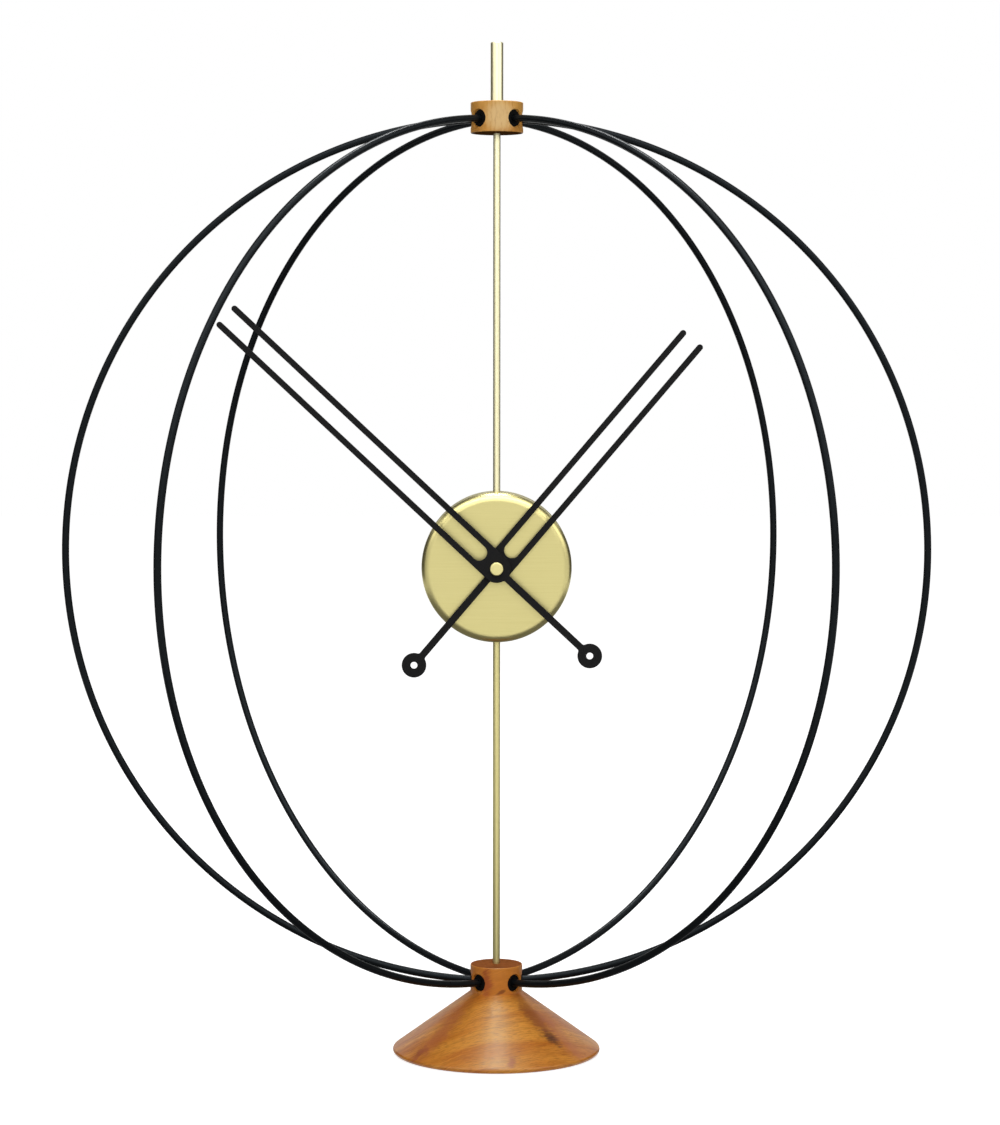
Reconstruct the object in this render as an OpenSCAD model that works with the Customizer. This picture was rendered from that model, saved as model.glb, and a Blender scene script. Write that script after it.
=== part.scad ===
// Table clock. A wooden foot and a wooden top collar are joined by six black hoops,
// and a brass clock case hangs in the middle on a thin brass rod.
// The origin is the centre of the underside, +Z is up and the hands face -Y.

/* [Hoops] */
// Radius of the hoops' centre line
hoop_r = 215; // [200:1:240]
// Diameter of the hoop rod
hoop_d = 3.6; // [2.8:0.1:4]
// Height where the hoops' circle meets the axis
hoop_low_z = 36.5; // [36:0.1:39]
// Angle of the front and back hoops from the side hoops
hoop_spread = 45; // [42:1:58]

/* [Sockets] */
// Diameter of a socket at the face of the wood
socket_d = 9.2; // [8:0.1:9.6]
// Distance of a socket's inner end from the axis
socket_in = 6.5; // [6.2:0.1:8]
// Depth of a bush below the face of the wood
bush_sink = 1; // [0.8:0.1:2]
// Wall of a bush at its inner end
bush_tip_wall = 0.3; // [0.2:0.05:0.5]

/* [Foot] */
// Radius of the foot at the table
foot_r = 52; // [46:0.2:60]
// Rounding of the foot's rim
foot_round = 1.4; // [0.8:0.1:2]
// Height where the cone meets the neck
shoulder_z = 31.1; // [29:0.1:31.5]
// Radius of the neck and of the top collar
neck_r = 13; // [12.5:0.1:15]
// Height of the top of the neck
neck_top = 44.9; // [43.5:0.1:50]
// Small bevel on the edges of the turned wood
wood_bevel = 0.5; // [0.2:0.1:1]
// Height of the ceiling of the nut pocket in the foot
pocket_z = 16; // [12:0.5:20]

/* [Felt] */
// Radius of the felt pad
felt_r = 45; // [40:0.5:45]
// Thickness of the felt pad
felt_t = 2; // [1.6:0.1:3]
// How far the felt stands below the wood
felt_proud = 0.5; // [0.3:0.1:1]

/* [Rods and finial] */
// Diameter of the rod
rod_d = 3.6; // [3.4:0.1:4.4]
// Diameter of the threaded rod ends
spigot_d = 3; // [2.6:0.1:3.2]
// Across flats of the rod nuts
rod_nut_flats = 5.5; // [5.3:0.1:7]
// Thickness of the rod nuts
rod_nut_t = 2.4; // [1.8:0.1:3]
// Radius of the washer in the foot
base_washer_r = 7.5; // [6:0.5:9]
// Thickness of the washer in the foot
base_washer_t = 1; // [0.6:0.1:2]
// Height of the top collar
collar_h = 15.1; // [14.5:0.1:18]
// Top of the collar above the hoops' meeting point
collar_rise = 8.1; // [7:0.1:9]
// Diameter of the finial
finial_d = 6.3; // [5.5:0.1:8]
// Height of the finial
finial_h = 29.5; // [22:0.5:40]
// Depth of the threaded hole in the finial
finial_bore = 14; // [8:0.5:18]

/* [Case] */
// Height of the hands' axis
pivot_z = 245; // [230:0.5:260]
// Outer radius of the case
case_r = 37.25; // [36.75:0.25:42]
// Wall of the case
case_wall = 1.6; // [1.2:0.1:2]
// Rounding of the front rim
case_round = 4.5; // [2:0.1:5]
// Front face of the case before the rods' axis
case_front = 14; // [12:0.5:18]
// Thickness of the back cover
cover_t = 1.6; // [1.2:0.1:2]
// Depth of the cover's lip
lip_h = 3.5; // [2.5:0.1:4.5]
// Wall of the cover's lip
lip_t = 1.2; // [0.8:0.1:1.6]
// Width of the step that the cover rests on
cover_step = 0.8; // [0.6:0.1:1]
// Space between the movement and the cover
cover_room = 5.6; // [5:0.1:9]

/* [Hands] */
// Direction of the minute hand, clockwise from the top
minute_angle = -46.9; // [-180:0.1:180]
// Direction of the hour hand, clockwise from the top
hour_angle = 40.4; // [-180:0.1:180]
// Length of the minute hand to the centres of its prong ends
minute_reach = 180.8; // [140:0.2:190]
// Length of the hour hand to the centres of its prong ends
hour_reach = 147.4; // [100:0.2:160]
// Thickness of the hands
hand_t = 1.2; // [0.8:0.1:1.6]
// Width of a prong
prong_w = 3.05; // [2:0.05:4]
// Distance between the prongs' centre lines
prong_pitch = 10.8; // [9:0.1:13]
// Distance of the slot's round end from the axis
slot_end = 7.8; // [7.2:0.1:10]
// Radius of the hub
hub_r = 6.9; // [6.6:0.1:8]
// Width of the tail
tail_w = 3.5; // [2.5:0.1:4.5]
// Distance of the tail ring from the axis
tail_reach = 62.9; // [45:0.1:80]
// Radius of the tail ring
ring_r = 6.1; // [4.5:0.1:8]
// Radius of the hole in the tail ring
ring_hole_r = 1.7; // [1:0.1:2.5]
// Rounding where the tail meets the hub and the ring
tail_fillet = 1.2; // [0.5:0.1:2.5]
// Space between the two hands
hands_gap = 1.8; // [1.2:0.1:4]
// Radius of the cap on the hands
cap_r = 3.3; // [2.5:0.1:4.5]
// Height of the cap
cap_h = 2; // [1.6:0.1:3]

/* [Movement] */
// Wall of the movement's casing
housing_wall = 1.2; // [1:0.1:1.5]
// Corner radius of the casing
housing_round = 3; // [2:0.5:5]
// Diameter of the battery
battery_d = 10.5; // [10:0.1:10.5]
// Length of the battery with its nub
battery_l = 44.5; // [43:0.1:45]
// Thickness of the rubber washer
rubber_t = 0.8; // [0.5:0.1:1.5]
// Radius of the rubber washer
rubber_r = 10; // [7:0.5:14]
// Radius of the threaded bush
bush_r = 4; // [3.8:0.1:4.5]
// Across flats of the fixing nut
fixing_nut_flats = 11; // [10:0.5:11.5]
// Thickness of the fixing nut
fixing_nut_t = 2; // [1.5:0.1:3]
// Radius of the hour pipe
pipe_r = 2.5; // [2.3:0.1:3]
// Radius of the minute arbor
arbor_r = 1.5; // [1.4:0.05:1.6]
// Radius of the train's pivots
pivot_r = 0.5; // [0.4:0.05:0.55]
// Thickness of the motion wheels
motion_t = 1.2; // [1:0.1:1.4]
// Thickness of the train wheels
train_t = 1; // [0.8:0.05:1.1]
// Thickness of the middle plate
plate_t = 0.6; // [0.5:0.1:1]
// Radius of the rotor's magnet
magnet_r = 2.5; // [2:0.1:2.7]
// Length of the rotor's magnet
magnet_l = 2.4; // [2:0.1:3]
// Radius of the setting knob
knob_r = 4; // [3:0.1:4.5]
// How far the knob stands out of the cover
knob_proud = 1.2; // [0.5:0.1:3]
// Radius of the setting stem
stem_r = 1.2; // [1:0.05:1.5]

/* [Fits] */
// Radial clearance of running fits
run_fit = 0.05; // [0.03:0.01:0.08]
// Radial clearance of seated pieces
seat_fit = 0.03; // [0.02:0.01:0.05]
// Clearance of the lift-off cover
cover_fit = 0.15; // [0.1:0.05:0.25]
// Gap between turning pieces on neighbouring levels
level_gap = 0.4; // [0.35:0.05:0.5]

/* [Hidden] */
$fn = 96;
// Overlap of joined solids, and overrun of cuts
eps = 0.01;
through = 1;

// Hoops: half circles about the axis, entering the wood level
hoop_z = hoop_low_z + hoop_r;
hoop_top_z = hoop_z + hoop_r;
hoop_end_gap = 0.1;
hoop_end = socket_in + hoop_end_gap;
hoop_cut = asin(hoop_end / hoop_r);
hoop_azimuths = [0, hoop_spread, 180 - hoop_spread, 180, 180 + hoop_spread, -hoop_spread];
socket_mid = (socket_in + neck_r) / 2;
socket_rise = hoop_r - sqrt(hoop_r * hoop_r - socket_mid * socket_mid);
socket_tip_r = hoop_d / 2 + run_fit + bush_tip_wall;
bush_out = neck_r - bush_sink;

// Foot and collar
foot_z = felt_proud;
felt_recess = felt_t - felt_proud;
collar_top = hoop_top_z + collar_rise;
collar_low = collar_top - collar_h;
spigot_r = spigot_d / 2;
pocket_room = 1;
pocket_r = base_washer_r + pocket_room;
nut_overrun = 0.8;

// Case, along Y from the front face to the back edge
front_y = -case_front;
case_in_r = case_r - case_wall;
housing_front_y = front_y + case_wall + rubber_t;
inner_y = housing_front_y + housing_wall;
rod_nut_r = rod_nut_flats / 2 / cos(30);
rod_nut_seat = sqrt(case_in_r * case_in_r - rod_nut_r * rod_nut_r) - seat_fit;
case_end = case_r - rod_nut_seat + rod_nut_t + nut_overrun;
// Room for fingertips round the knob
knob_hole_room = 3.2;

// Wheels: tooth counts and modules of the motion work and of the going train
motion_m = 0.4;
cannon_n = 12;
minute_n = 36;
minute_pinion_n = 10;
hour_n = 40;
setting_n = 12;
train_pinion_n = 8;
centre_n = 60;
third_n = 64;
second_n = 40;
intermediate_n = 48;
coarse_m = 0.25;
fine_m = 0.2;
motion_reach = (cannon_n + minute_n) * motion_m / 2;
hour_m = 2 * motion_reach / (hour_n + minute_pinion_n);
pressure_angle = 28;
addendum = 0.8;
dedendum = 1.05;
tooth_share = 0.9;

// Arbors, as (x, z) from the hands' axis
minute_dir = 45;
setting_dir = -23.4;
third_dir = -30;
second_dir = -80;
intermediate_dir = 190;
rotor_dir = 180;
minute_at = polar(motion_reach, minute_dir);
setting_at = minute_at + polar((minute_n + setting_n) * motion_m / 2, setting_dir);
third_at = polar((centre_n + train_pinion_n) * coarse_m / 2, third_dir);
second_at = third_at + polar((third_n + train_pinion_n) * fine_m / 2, second_dir);
intermediate_at = second_at + polar((second_n + train_pinion_n) * coarse_m / 2, intermediate_dir);
rotor_at = intermediate_at + polar((intermediate_n + train_pinion_n) * fine_m / 2, rotor_dir);

// Tooth phases: one wheel of a pair has a tooth on the line of centres, the other a gap
minute_phase = minute_dir + 180 + 180 / minute_n;
setting_turn = (minute_phase - setting_dir) * minute_n / setting_n;
setting_phase = setting_dir + 180 + 180 / setting_n - setting_turn;

// Levels of the movement, as depths behind the inside of its front wall
hour_level = level_gap;
cannon_level = hour_level + motion_t + level_gap;
plate_level = cannon_level + motion_t + level_gap;
centre_level = plate_level + plate_t + level_gap;
third_level = centre_level + train_t + level_gap;
second_level = third_level + train_t + level_gap;
intermediate_level = second_level + train_t + level_gap;
magnet_level = intermediate_level + train_t + level_gap;
magnet_end = magnet_level + magnet_l;
rear_room = 1.5;
inner_depth = magnet_end + rear_room;
split_level = inner_depth / 2;
train_end = intermediate_level + train_t + level_gap;
knob_level = inner_depth + housing_wall + level_gap;
knob_grip = 5;
rear_y = inner_y + inner_depth + housing_wall;
cover_y = rear_y + cover_room;
back_y = cover_y + cover_t;

// Casing: its walls follow the battery on one side and the setting stem on the other
battery_r = battery_d / 2;
battery_room = 0.25;
partition_t = 0.8;
wheel_room = 0.5;
plate_room = 0.2;
partition_right = -(hour_n * hour_m / 2 + addendum * hour_m + wheel_room);
partition_left = partition_right - partition_t;
partition_half_h = battery_l / 2 - plate_room;
battery_x = partition_left - battery_room - battery_r;
housing_left = battery_x - battery_r - battery_room - housing_wall;
setting_room = 4.7;
housing_right = setting_at[0] + setting_room + housing_wall;
battery_end_room = 2.5;
housing_half_h = battery_l / 2 + battery_end_room + housing_wall;
battery_t = inner_depth / 2;
chamber_left = partition_right + plate_room;
chamber_right = housing_right - housing_wall - plate_room;
chamber_half_h = housing_half_h - housing_wall - plate_room;
post_r = 1.2;
stake_r = 0.7;
stake_proud = 0.3;
stud_r = 1;
post_inset = 1.8;
boss_wall = 0.5;
end_play = 0.1;
blind_end = 0.2;

// Motor
stator_t = 1.2;
stator_level = magnet_level + (magnet_l - stator_t) / 2;
air_gap = 0.5;
stator_arm = 3;
stator_hole_r = magnet_r + air_gap;
yoke_wall = 1.4;
yoke_left = rotor_at[0] - stator_hole_r - yoke_wall;
yoke_right = rotor_at[0] + stator_hole_r + yoke_wall - level_gap;
yoke_top = rotor_at[1] + stator_hole_r + yoke_wall;
yoke_low = rotor_at[1] - stator_hole_r - stator_arm / 2 - level_gap;
stator_leg = 1.5;
stator_w = 23.9;
stator_right = yoke_left + stator_w;
stator_post_inset = 1.3;
core_h = 2;
coil_r = 2.5;
coil_room = 0.5;
core_z = yoke_low - coil_room - coil_r;
bobbin_room = 0.3;
coil_left = yoke_left + stator_leg + bobbin_room;
coil_right = stator_right - stator_leg - bobbin_room;
flange_t = 0.6;
bobbin_r = 1.5;
winding_sink = 0.2;

// Circuit board, on two pillars of the rear casing
board_t = 1;
board_stand = 1.5;
board_level = inner_depth - board_stand - board_t;
board_inset = 3.6;
board_left = chamber_left + board_inset;
board_right = chamber_right - board_inset;
board_h = 8.8;
board_room = 0.8;
board_top = chamber_half_h - board_room;
board_low = board_top - board_h;
pillar_inset = 1.5;
crystal_r = 1;
crystal_l = 6;
crystal_x = 4;
contact_t = 0.3;
contact_half_w = 3;
contact_z = battery_l / 2 + run_fit;

// Hands, along Y
bush_proud = 0.8;
hand_room = 0.6;
pipe_proud = 0.2;
bush_front = front_y - fixing_nut_t - bush_proud;
hour_back = bush_front - hand_room;
hour_front = hour_back - hand_t;
pipe_front = hour_front - pipe_proud;
minute_back = hour_front - hands_gap;
minute_front = minute_back - hand_t;
cap_crown = 0.6;
thread_step = 0.4;
clutch_step = 0.3;
pivot_step = 0.7;
thread_r = arbor_r - thread_step;
thread_front = minute_front - cap_h + cap_crown;
clutch_r = arbor_r - clutch_step;
rear_pivot_r = arbor_r - pivot_step;

function polar(r, a) = [r * cos(a), r * sin(a)];
function level_y(t) = inner_y + t;

// Radius of a socket's cone at a distance from the axis
function socket_r(x) = socket_tip_r
    + (socket_d / 2 - socket_tip_r) * (x - socket_in) / (neck_r - socket_in);

// Involute tooth: half its angle at radius r, for n teeth of module m
function involute(a) = tan(a) * 180 / PI - a;
function tooth_half(n, m, r) =
    let (base_r = n * m / 2 * cos(pressure_angle))
    90 / n * tooth_share + involute(pressure_angle)
    - (r > base_r ? involute(acos(base_r / r)) : 0);
function tooth_radii(n, m) =
    [n * m / 2 - dedendum * m, n * m / 2, n * m / 2 + addendum * m];

// Outline of a gear with a tooth centred on the angle called phase
module gear_2d(n, m, phase) {
    radii = tooth_radii(n, m);
    polygon([for (i = [0 : n - 1], k = [0 : 5])
        let (side = k < 3 ? -1 : 1)
        let (r = radii[k < 3 ? k : 5 - k])
        polar(r, phase + 360 * i / n + side * tooth_half(n, m, r))]);
}

// An outline in (x, z) about the hands' axis, from y to y + h
module slab(y, h) {
    translate([0, y + h, pivot_z]) rotate([90, 0, 0]) linear_extrude(height = h) children();
}

module disc(y, h, r, at = [0, 0]) {
    slab(y, h) translate(at) circle(r = r);
}

module gear(t, h, n, m, phase, at = [0, 0]) {
    slab(level_y(t), h) translate(at) gear_2d(n, m, phase);
}

// A shaft or boss between two depths of the movement
module post(t0, t1, r, at) {
    disc(level_y(t0), t1 - t0, r, at);
}

module box_2d(x0, x1, z0, z1) {
    translate([x0, z0]) square([x1 - x0, z1 - z0]);
}

module round_box_2d(x0, x1, z0, z1, r) {
    box_2d(x0 + r, x1 - r, z0, z1);
    box_2d(x0, x1, z0 + r, z1 - r);
    for (x = [x0 + r, x1 - r], z = [z0 + r, z1 - r])
        translate([x, z]) circle(r = r);
}

module hex_nut(z, h, flats, bore_r) {
    translate([0, 0, z]) difference() {
        cylinder(h = h, r = flats / 2 / cos(30), $fn = 6);
        translate([0, 0, -through]) cylinder(h = h + 2 * through, r = bore_r);
    }
}

// Hoops and their sockets
module hoop(azimuth, grow = 0) {
    rotate([0, 0, azimuth]) translate([0, 0, hoop_z]) rotate([90, 0, 0])
        rotate([0, 0, hoop_cut - 90])
            rotate_extrude(angle = 180 - 2 * hoop_cut)
                translate([hoop_r, 0]) circle(d = hoop_d + 2 * grow);
}

module socket_cone(z, x1, grow) {
    translate([socket_in, 0, z]) rotate([0, 90, 0])
        cylinder(h = x1 - socket_in, r1 = socket_tip_r + grow, r2 = socket_r(x1) + grow);
}

module sockets(z) {
    for (a = hoop_azimuths)
        rotate([0, 0, a]) socket_cone(z, neck_r + through, 0);
}

// The bore of each bush follows the curve of its hoop
module bushes(z) {
    color([0.08, 0.08, 0.08])
        for (a = hoop_azimuths)
            rotate([0, 0, a]) difference() {
                socket_cone(z, bush_out, -seat_fit);
                bush_bore();
            }
}

module bush_bore() {
    translate([0, 0, hoop_z]) rotate([90, 0, 0]) rotate([0, 0, -90])
        rotate_extrude(angle = 180)
            translate([hoop_r, 0]) circle(d = hoop_d + 2 * run_fit);
}

module lower_bushes() { bushes(hoop_low_z + socket_rise); }
module upper_bushes() { bushes(hoop_top_z - socket_rise); }

module hoop_side_right() { color([0.1, 0.11, 0.12]) hoop(hoop_azimuths[0]); }
module hoop_back_right() { color([0.1, 0.11, 0.12]) hoop(hoop_azimuths[1]); }
module hoop_back_left() { color([0.1, 0.11, 0.12]) hoop(hoop_azimuths[2]); }
module hoop_side_left() { color([0.1, 0.11, 0.12]) hoop(hoop_azimuths[3]); }
module hoop_front_left() { color([0.1, 0.11, 0.12]) hoop(hoop_azimuths[4]); }
module hoop_front_right() { color([0.1, 0.11, 0.12]) hoop(hoop_azimuths[5]); }

// Foot: the cone is the line from the shoulder that touches the rim's rounding
module base_body() {
    rim_at = [foot_r - foot_round, foot_z + foot_round];
    shoulder_at = [neck_r, shoulder_z];
    run = rim_at - shoulder_at;
    tangent_dir = atan2(run[1], run[0]) + asin(foot_round / norm(run));
    touch = shoulder_at + polar(sqrt(run * run - foot_round * foot_round), tangent_dir);
    color([0.72, 0.45, 0.2]) difference() {
        rotate_extrude() {
            polygon([[0, foot_z], [rim_at[0], foot_z], rim_at, touch, shoulder_at,
                [neck_r, neck_top - wood_bevel], [neck_r - wood_bevel, neck_top], [0, neck_top]]);
            translate(rim_at) circle(r = foot_round);
        }
        sockets(hoop_low_z + socket_rise);
        cylinder(h = neck_top + through, r = spigot_r + run_fit);
        cylinder(h = pocket_z, r = pocket_r);
        cylinder(h = foot_z + felt_recess, r = felt_r + run_fit);
    }
}

module felt_pad() {
    color([0.16, 0.17, 0.16]) cylinder(h = felt_t, r = felt_r);
}

module base_washer() {
    color([0.75, 0.75, 0.76]) translate([0, 0, pocket_z - base_washer_t]) difference() {
        cylinder(h = base_washer_t, r = base_washer_r);
        translate([0, 0, -through])
            cylinder(h = base_washer_t + 2 * through, r = spigot_r + run_fit);
    }
}

module base_nut() {
    color([0.75, 0.75, 0.76])
        hex_nut(pocket_z - base_washer_t - rod_nut_t, rod_nut_t, rod_nut_flats, spigot_r + seat_fit);
}

// A rod with a thinner threaded end below z0 and above z1
module rod(z0, z1, low_end, high_end) {
    color([0.85, 0.78, 0.5]) {
        translate([0, 0, z0]) cylinder(h = z1 - z0, r = rod_d / 2);
        translate([0, 0, z0 - low_end]) cylinder(h = z1 - z0 + low_end + high_end, r = spigot_r);
    }
}

module lower_rod() {
    rod(neck_top, pivot_z - case_r,
        neck_top - pocket_z + base_washer_t + rod_nut_t + nut_overrun, case_end);
}

module upper_rod() {
    rod(pivot_z + case_r, collar_low, case_end, collar_h + finial_bore - nut_overrun);
}

module rod_nuts() {
    color([0.75, 0.75, 0.76]) {
        hex_nut(pivot_z + rod_nut_seat - rod_nut_t, rod_nut_t, rod_nut_flats, spigot_r + seat_fit);
        hex_nut(pivot_z - rod_nut_seat, rod_nut_t, rod_nut_flats, spigot_r + seat_fit);
    }
}

module top_collar() {
    color([0.82, 0.62, 0.36]) difference() {
        rotate_extrude()
            polygon([[0, collar_low], [neck_r - wood_bevel, collar_low],
                [neck_r, collar_low + wood_bevel], [neck_r, collar_top - wood_bevel],
                [neck_r - wood_bevel, collar_top], [0, collar_top]]);
        sockets(hoop_top_z - socket_rise);
        translate([0, 0, collar_low - through])
            cylinder(h = collar_h + 2 * through, r = spigot_r + run_fit);
    }
}

module finial() {
    top_bevel = 0.4;
    color([0.85, 0.78, 0.5]) difference() {
        translate([0, 0, collar_top]) rotate_extrude()
            polygon([[0, 0], [finial_d / 2, 0], [finial_d / 2, finial_h - top_bevel],
                [finial_d / 2 - top_bevel, finial_h], [0, finial_h]]);
        translate([0, 0, collar_top - through])
            cylinder(h = finial_bore + through, r = spigot_r + seat_fit);
    }
}

// Case: half section of a cup with a rounded front rim, radius along x and depth along y
module cup_2d(r, depth, round_r) {
    square([r - round_r, depth]);
    translate([0, round_r]) square([r, depth - round_r]);
    translate([r - round_r, round_r]) circle(r = round_r);
}

module turned_case(y) {
    translate([0, y, pivot_z]) rotate([-90, 0, 0]) rotate_extrude() children();
}

module case_shell() {
    rebate_r = case_in_r + cover_step;
    inner_round = case_round - case_wall;
    color([0.84, 0.79, 0.53]) difference() {
        turned_case(front_y) cup_2d(case_r, back_y - front_y, case_round);
        turned_case(front_y + case_wall) cup_2d(case_in_r, back_y - front_y, inner_round);
        disc(cover_y, cover_t + through, rebate_r);
        disc(front_y - through, case_wall + 2 * through, bush_r + run_fit);
        translate([0, 0, pivot_z - case_r - through])
            cylinder(h = 2 * (case_r + through), r = spigot_r + run_fit);
    }
}

// The cover rests on the step in the case wall, its lip grips the bore
module back_cover() {
    lip_r = case_in_r - cover_fit;
    color([0.84, 0.79, 0.53]) difference() {
        union() {
            disc(cover_y, cover_t, case_in_r + cover_step - cover_fit);
            slab(cover_y - lip_h, lip_h + eps) difference() {
                circle(r = lip_r);
                circle(r = lip_r - lip_t);
            }
        }
        disc(cover_y - through, cover_t + 2 * through, knob_r + knob_hole_room, setting_at);
    }
}

module rubber_washer() {
    color([0.1, 0.1, 0.1]) slab(front_y + case_wall, rubber_t) difference() {
        circle(r = rubber_r);
        circle(r = bush_r + run_fit);
    }
}

module threaded_bush() {
    color([0.8, 0.68, 0.35]) slab(bush_front, inner_y - bush_front) difference() {
        circle(r = bush_r);
        circle(r = pipe_r + run_fit);
    }
}

module fixing_nut() {
    color([0.8, 0.68, 0.35]) slab(front_y - fixing_nut_t, fixing_nut_t) difference() {
        circle(r = fixing_nut_flats / 2 / cos(30), $fn = 6);
        circle(r = bush_r + seat_fit);
    }
}

// Casing of the movement
module housing_2d(inset = 0) {
    round_box_2d(housing_left + inset, housing_right - inset,
        inset - housing_half_h, housing_half_h - inset, housing_round - inset / 2);
}

module housing_wall_2d() {
    difference() {
        housing_2d();
        housing_2d(housing_wall);
    }
}

function plate_posts() = [for (x = [chamber_left + post_inset, chamber_right - post_inset],
    z = [-1, 1]) [x, z * (chamber_half_h - post_inset)]];

module front_housing() {
    color([0.12, 0.12, 0.13]) difference() {
        union() {
            slab(housing_front_y, housing_wall) housing_2d();
            slab(inner_y - eps, split_level + eps) housing_wall_2d();
            slab(inner_y - eps, inner_depth - level_gap)
                box_2d(partition_left, partition_right, -partition_half_h, partition_half_h);
            for (at = plate_posts()) {
                post(-eps, plate_level, post_r, at);
                post(-eps, plate_level + plate_t + stake_proud, stake_r, at);
            }
            post(-eps, cannon_level - level_gap, stem_r + boss_wall, setting_at);
        }
        disc(housing_front_y - through, housing_wall + 2 * through, bush_r + seat_fit);
        post(blind_end, cannon_level, rear_pivot_r + run_fit, setting_at);
    }
}

// Rear bosses, each from the rear wall down to just behind its last wheel
module rear_boss(t, at) {
    post(t, inner_depth + eps, pivot_r + boss_wall, at);
}

module rear_hole(t, at, r) {
    post(t - through, inner_depth + level_gap, r + run_fit, at);
}

module rear_housing() {
    color([0.12, 0.12, 0.13]) difference() {
        union() {
            slab(level_y(inner_depth), housing_wall) housing_2d();
            slab(level_y(split_level), inner_depth - split_level + eps) housing_wall_2d();
            post(train_end, inner_depth + eps, rear_pivot_r + boss_wall, [0, 0]);
            for (at = [third_at, second_at, intermediate_at]) rear_boss(train_end, at);
            rear_boss(magnet_end + level_gap, rotor_at);
            for (x = [board_left + pillar_inset, board_right - pillar_inset])
                post(board_level + board_t, inner_depth + eps, post_r, [x, board_top - pillar_inset]);
            for (x = [yoke_left + stator_post_inset, stator_right - stator_post_inset])
                post(stator_level + stator_t, inner_depth + eps, stake_r, [x, yoke_low + stator_arm / 2]);
        }
        rear_hole(train_end, [0, 0], rear_pivot_r);
        for (at = [third_at, second_at, intermediate_at]) rear_hole(train_end, at, pivot_r);
        rear_hole(magnet_end + level_gap, rotor_at, pivot_r);
        post(inner_depth - through, inner_depth + housing_wall + through, stem_r + run_fit, setting_at);
        slab(level_y(inner_depth) - through, housing_wall + 2 * through)
            box_2d(battery_x - battery_r - run_fit, battery_x + battery_r + run_fit,
                -contact_z - 2 * contact_t, contact_z + 2 * contact_t);
    }
}

module middle_plate() {
    color([0.75, 0.75, 0.72]) difference() {
        union() {
            slab(level_y(plate_level), plate_t)
                round_box_2d(chamber_left, chamber_right, -chamber_half_h, chamber_half_h, housing_round);
            post(blind_end, plate_level + eps, stud_r, minute_at);
        }
        for (at = plate_posts())
            post(plate_level - through, centre_level + through, stake_r + run_fit, at);
        post(plate_level - through, centre_level + through, arbor_r + run_fit, [0, 0]);
        post(plate_level - through, centre_level + through, stem_r + run_fit, setting_at);
        for (at = [third_at, second_at, intermediate_at, rotor_at])
            post(plate_level - through, centre_level + through, pivot_r + run_fit, at);
    }
}

// Motion work
module minute_arbor() {
    color([0.8, 0.78, 0.7]) {
        disc(thread_front, minute_back - thread_front + eps, thread_r);
        disc(minute_back, level_y(centre_level) - minute_back, arbor_r);
        gear(cannon_level, motion_t, cannon_n, motion_m, minute_dir);
        post(centre_level - eps, third_level, clutch_r, [0, 0]);
        post(third_level - eps, inner_depth, rear_pivot_r, [0, 0]);
    }
}

module hour_wheel() {
    color([0.9, 0.9, 0.86]) difference() {
        union() {
            gear(hour_level, motion_t, hour_n, hour_m, minute_dir + 180 / hour_n);
            disc(pipe_front, level_y(hour_level) - pipe_front + eps, pipe_r);
        }
        disc(pipe_front - through, level_y(cannon_level) - pipe_front + 2 * through, arbor_r + run_fit);
    }
}

module minute_wheel() {
    color([0.9, 0.9, 0.86]) difference() {
        union() {
            gear(cannon_level, motion_t, minute_n, motion_m, minute_phase, minute_at);
            gear(hour_level, motion_t, minute_pinion_n, hour_m, minute_dir + 180, minute_at);
            post(hour_level, cannon_level + motion_t, stud_r + boss_wall, minute_at);
        }
        post(-through, plate_level, stud_r + run_fit, minute_at);
    }
}

// Going train: a wheel and its pinion on one arbor
module train_arbor(wheel, wheel_n, wheel_m, wheel_phase, pinion, pinion_m, pinion_phase, at) {
    color([0.9, 0.9, 0.86]) {
        gear(wheel, train_t, wheel_n, wheel_m, wheel_phase, at);
        gear(pinion, train_t, train_pinion_n, pinion_m, pinion_phase, at);
        post(plate_level + end_play, inner_depth, pivot_r, at);
    }
}

module centre_wheel() {
    color([0.9, 0.9, 0.86]) difference() {
        gear(centre_level, train_t, centre_n, coarse_m, third_dir + 180 / centre_n);
        post(centre_level - through, third_level + through, clutch_r + run_fit, [0, 0]);
    }
}

module third_wheel() {
    train_arbor(third_level, third_n, fine_m, second_dir + 180 / third_n,
        centre_level, coarse_m, third_dir + 180, third_at);
}

module second_wheel() {
    train_arbor(second_level, second_n, coarse_m, intermediate_dir + 180 / second_n,
        third_level, fine_m, second_dir + 180, second_at);
}

module intermediate_wheel() {
    train_arbor(intermediate_level, intermediate_n, fine_m, rotor_dir + 180 / intermediate_n,
        second_level, coarse_m, intermediate_dir + 180, intermediate_at);
}

module rotor() {
    color([0.35, 0.35, 0.37]) {
        gear(intermediate_level, train_t, train_pinion_n, fine_m, rotor_dir + 180, rotor_at);
        post(plate_level + end_play, inner_depth + blind_end, pivot_r, rotor_at);
        post(magnet_level, magnet_end, magnet_r, rotor_at);
    }
}

// Hand setting
module setting_stem() {
    color([0.9, 0.9, 0.86]) {
        gear(cannon_level, motion_t, setting_n, motion_m, setting_phase, setting_at);
        post(blind_end + end_play, cannon_level + eps, rear_pivot_r, setting_at);
        post(cannon_level, knob_level + knob_grip, stem_r, setting_at);
    }
}

module setting_knob() {
    grooves = 18;
    groove_r = 0.3;
    groove_l = 3;
    knob_end = back_y + knob_proud - inner_y;
    color([0.12, 0.12, 0.13]) difference() {
        post(knob_level, knob_end, knob_r, setting_at);
        post(knob_level - through, knob_level + knob_grip + run_fit, stem_r + seat_fit, setting_at);
        for (i = [1 : grooves])
            post(knob_end - groove_l, knob_end + through, groove_r,
                setting_at + polar(knob_r, 360 * i / grooves));
    }
}

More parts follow.
